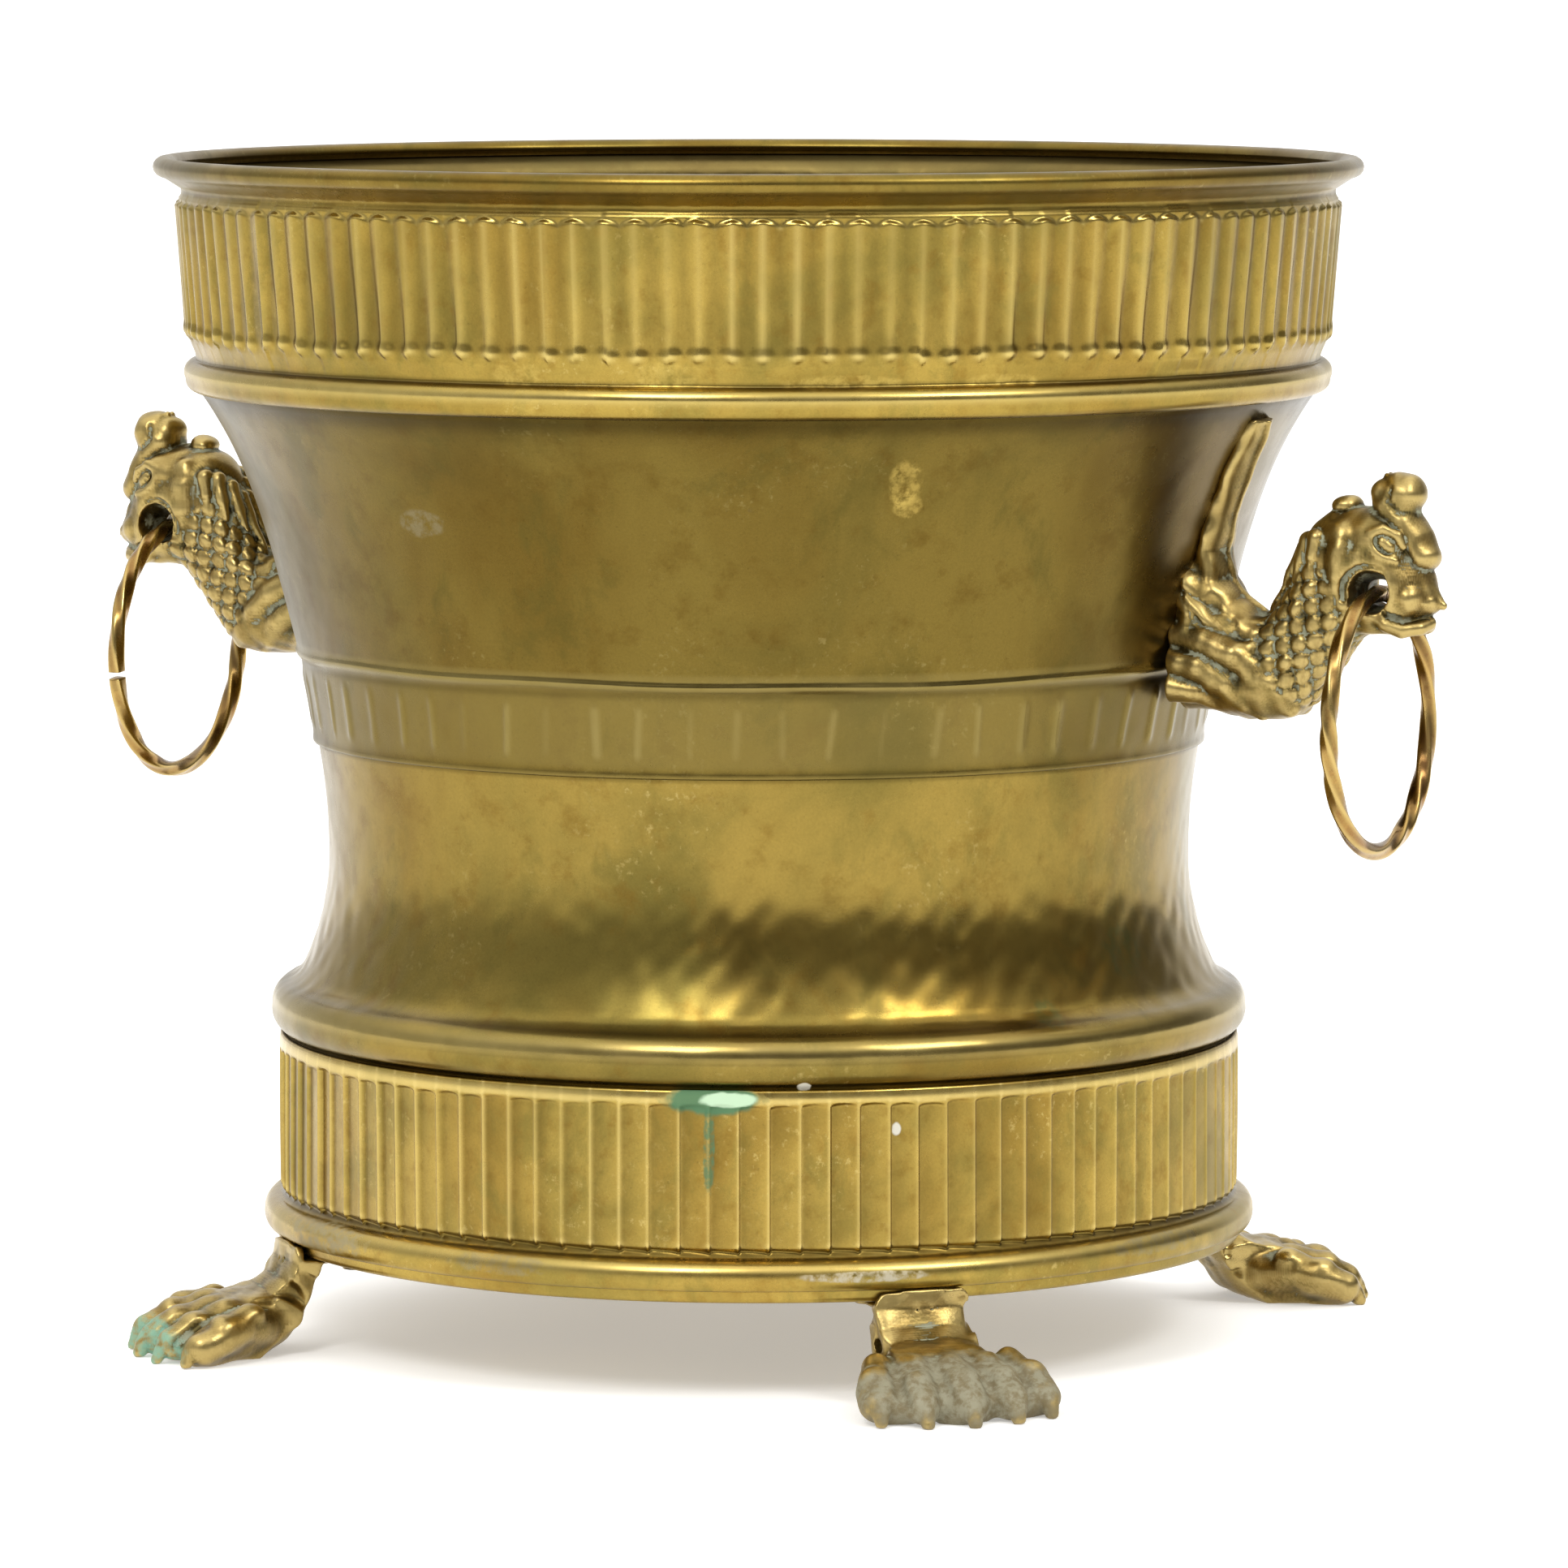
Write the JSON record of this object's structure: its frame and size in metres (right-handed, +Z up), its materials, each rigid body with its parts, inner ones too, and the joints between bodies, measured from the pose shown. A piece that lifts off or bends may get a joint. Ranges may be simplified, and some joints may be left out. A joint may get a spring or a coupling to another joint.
{
  "type": "brass planter pot",
  "caption": "Footed brass jardiniere with fluted bands, a concave waist, a rolled rim, cast beast-head handles with swinging ring pulls, and cast paw feet.",
  "frame": {"origin": "on the pot's axis, level with the soles of the feet", "axes": "+Z up along the pot's axis, +X through the right-hand handle, -Y towards the front"},
  "size_m": [0.418, 0.34, 0.332],
  "materials": {
    "sheet_brass": "aged spun sheet, olive and orange-brown patina, satin",
    "cast_brass": "cast, worn bright on high places, pale green in the hollows",
    "ring_brass": "twisted bar, coppery brown, satin",
    "screw_brass": "dull turned brass",
    "wire_iron": "drawn iron wire, rusty"
  },
  "bodies": {
    "root": {"rim_wire": "wire_iron", "upper_band": "sheet_brass", "upper_waist": "sheet_brass", "lower_waist": "sheet_brass", "lower_band": "sheet_brass", "bottom_plate": "sheet_brass", "handle_right": "cast_brass", "handle_left": "cast_brass", "handle_screws": "screw_brass", "handle_washers": "screw_brass", "foot_front_right": "cast_brass", "foot_back_right": "cast_brass", "foot_back_left": "cast_brass", "foot_front_left": "cast_brass", "foot_screws": "screw_brass", "foot_nuts": "screw_brass"},
    "ring_right": {"ring_right": "ring_brass"},
    "ring_left": {"ring_left": "ring_brass"}
  },
  "joints": [
    {"name": "ring_right_swing", "type": "hinge", "parent": "root", "child": "ring_right", "pos_m": [0.1895, 0, 0.2153], "axis": [0, -1, 0], "range_deg": [-50, 195]},
    {"name": "ring_left_swing", "type": "hinge", "parent": "root", "child": "ring_left", "pos_m": [-0.1895, 0, 0.2218], "axis": [0, 1, 0], "range_deg": [-50, 195]}
  ]
}
